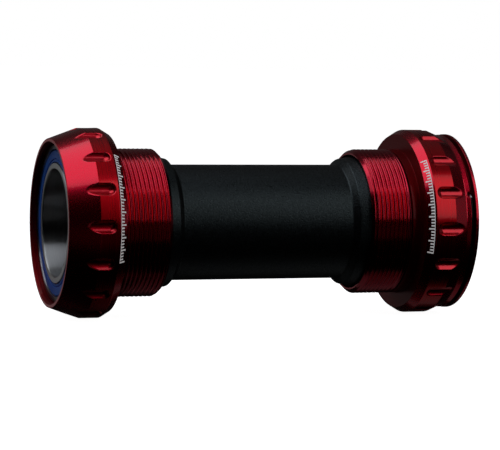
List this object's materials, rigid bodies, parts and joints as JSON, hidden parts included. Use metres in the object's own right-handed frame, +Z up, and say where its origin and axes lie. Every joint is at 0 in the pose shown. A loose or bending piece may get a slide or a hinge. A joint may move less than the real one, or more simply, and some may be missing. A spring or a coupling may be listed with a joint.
{
  "type": "bottom bracket",
  "caption": "Threaded external-cup bicycle bottom bracket with two notched cups, a centre sleeve and two sealed cartridge ball bearings.",
  "frame": {"origin": "on the crank spindle's axis, midway between the two cup faces that clamp the frame's shell", "axes": "+X along the spindle's axis towards the drive side, +Z up, and -Y towards the viewer of the stored view"},
  "size_m": [0.0994, 0.0444, 0.0444],
  "materials": {
    "red_anodised": "deep red anodised, satin-gloss turned aluminium",
    "black_composite": "black moulded composite, satin with a fine grain",
    "bearing_steel": "ground bearing steel",
    "blue_seal": "dark blue moulded rubber",
    "cage_polymer": "natural moulded polymer",
    "ceramic": "polished black ceramic",
    "o_ring_rubber": "black rubber",
    "spring_wire": "bright drawn spring wire"
  },
  "bodies": {
    "drive_side": {"drive_side_cup": "red_anodised", "retaining_clip": "spring_wire", "drive_outer_race": "bearing_steel", "drive_outboard_seal": "blue_seal", "drive_inboard_seal": "blue_seal"},
    "drive_o_ring": {"sleeve_o_ring_drive": "o_ring_rubber"},
    "sleeve": {"centre_sleeve": "black_composite"},
    "non_drive_o_ring": {"sleeve_o_ring_non_drive": "o_ring_rubber"},
    "non_drive_side": {"non_drive_side_cup": "red_anodised", "non_drive_outer_race": "bearing_steel", "non_drive_outboard_seal": "blue_seal", "non_drive_inboard_seal": "blue_seal"},
    "drive_spindle_race": {"drive_inner_race": "bearing_steel"},
    "drive_ball_set": {"drive_ball_cage": "cage_polymer", "drive_ball_01": "ceramic", "drive_ball_02": "ceramic", "drive_ball_03": "ceramic", "drive_ball_04": "ceramic", "drive_ball_05": "ceramic", "drive_ball_06": "ceramic", "drive_ball_07": "ceramic", "drive_ball_08": "ceramic", "drive_ball_09": "ceramic", "drive_ball_10": "ceramic", "drive_ball_11": "ceramic", "drive_ball_12": "ceramic", "drive_ball_13": "ceramic", "drive_ball_14": "ceramic", "drive_ball_15": "ceramic", "drive_ball_16": "ceramic"},
    "non_drive_spindle_race": {"non_drive_inner_race": "bearing_steel"},
    "non_drive_ball_set": {"non_drive_ball_cage": "cage_polymer", "non_drive_ball_01": "ceramic", "non_drive_ball_02": "ceramic", "non_drive_ball_03": "ceramic", "non_drive_ball_04": "ceramic", "non_drive_ball_05": "ceramic", "non_drive_ball_06": "ceramic", "non_drive_ball_07": "ceramic", "non_drive_ball_08": "ceramic", "non_drive_ball_09": "ceramic", "non_drive_ball_10": "ceramic", "non_drive_ball_11": "ceramic", "non_drive_ball_12": "ceramic", "non_drive_ball_13": "ceramic", "non_drive_ball_14": "ceramic", "non_drive_ball_15": "ceramic", "non_drive_ball_16": "ceramic"}
  },
  "joints": [
    {"name": "drive_race_spin", "type": "hinge", "parent": "drive_side", "child": "drive_spindle_race", "pos_m": [0.0448, 0, 0], "axis": [1, 0, 0], "continuous": true},
    {"name": "drive_ball_set_spin", "type": "hinge", "parent": "drive_side", "child": "drive_ball_set", "pos_m": [0.0448, 0, 0], "axis": [1, 0, 0], "continuous": true},
    {"name": "drive_cup_slide", "type": "slide", "parent": "drive_side", "child": "drive_o_ring", "axis": [-1, 0, 0], "range_m": [-0.0025, 0.008]},
    {"name": "drive_cup_turn", "type": "hinge", "parent": "drive_o_ring", "child": "sleeve", "pos_m": [0.0335, 0, 0], "axis": [1, 0, 0], "continuous": true},
    {"name": "non_drive_cup_turn", "type": "hinge", "parent": "sleeve", "child": "non_drive_o_ring", "pos_m": [-0.0335, 0, 0], "axis": [1, 0, 0], "continuous": true},
    {"name": "non_drive_cup_slide", "type": "slide", "parent": "non_drive_o_ring", "child": "non_drive_side", "axis": [-1, 0, 0], "range_m": [-0.0025, 0.008]},
    {"name": "non_drive_race_spin", "type": "hinge", "parent": "non_drive_side", "child": "non_drive_spindle_race", "pos_m": [-0.0448, 0, 0], "axis": [1, 0, 0], "continuous": true},
    {"name": "non_drive_ball_set_spin", "type": "hinge", "parent": "non_drive_side", "child": "non_drive_ball_set", "pos_m": [-0.0448, 0, 0], "axis": [1, 0, 0], "continuous": true}
  ],
  "couplings": [
    {"joint": "drive_ball_set_spin", "follows": "drive_race_spin", "ratio": 0.44355},
    {"joint": "non_drive_ball_set_spin", "follows": "non_drive_race_spin", "ratio": 0.44355}
  ]
}
